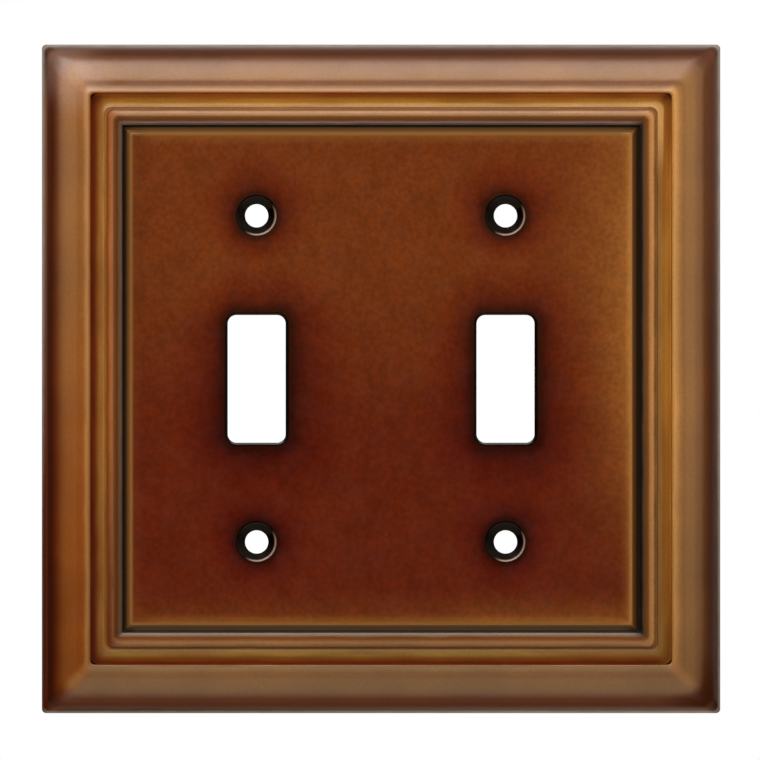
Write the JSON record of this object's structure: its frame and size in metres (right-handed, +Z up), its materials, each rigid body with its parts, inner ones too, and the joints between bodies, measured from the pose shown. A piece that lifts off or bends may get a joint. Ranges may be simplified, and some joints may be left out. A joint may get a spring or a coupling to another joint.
{
  "type": "wall plate",
  "caption": "Decorative wood wall plate for side-by-side toggle switches: mitred moulded frame, bead ring and raised centre panel with switch slots and countersunk screw holes.",
  "frame": {"origin": "centre of the plate in the wall plane, where it covers the wall box", "axes": "+Z up the wall, +X to the right seen from the room, -Y out of the wall towards the room, so +Y points into the wall"},
  "size_m": [0.1254, 0.0102, 0.1236],
  "materials": {
    "rail_stain": "golden brown stain, satin lacquer",
    "ring_stain": "golden brown stain with dark glaze in the recesses, satin lacquer",
    "panel_stain": "red brown stain, satin lacquer",
    "nail_steel": "plain steel strip"
  },
  "bodies": {
    "root": {"top_rail": "rail_stain", "bottom_rail": "rail_stain", "left_rail": "rail_stain", "right_rail": "rail_stain", "bead_ring": "ring_stain", "centre_panel": "panel_stain", "v_nail_top_left": "nail_steel", "v_nail_top_right": "nail_steel", "v_nail_bottom_left": "nail_steel", "v_nail_bottom_right": "nail_steel"}
  },
  "joints": []
}
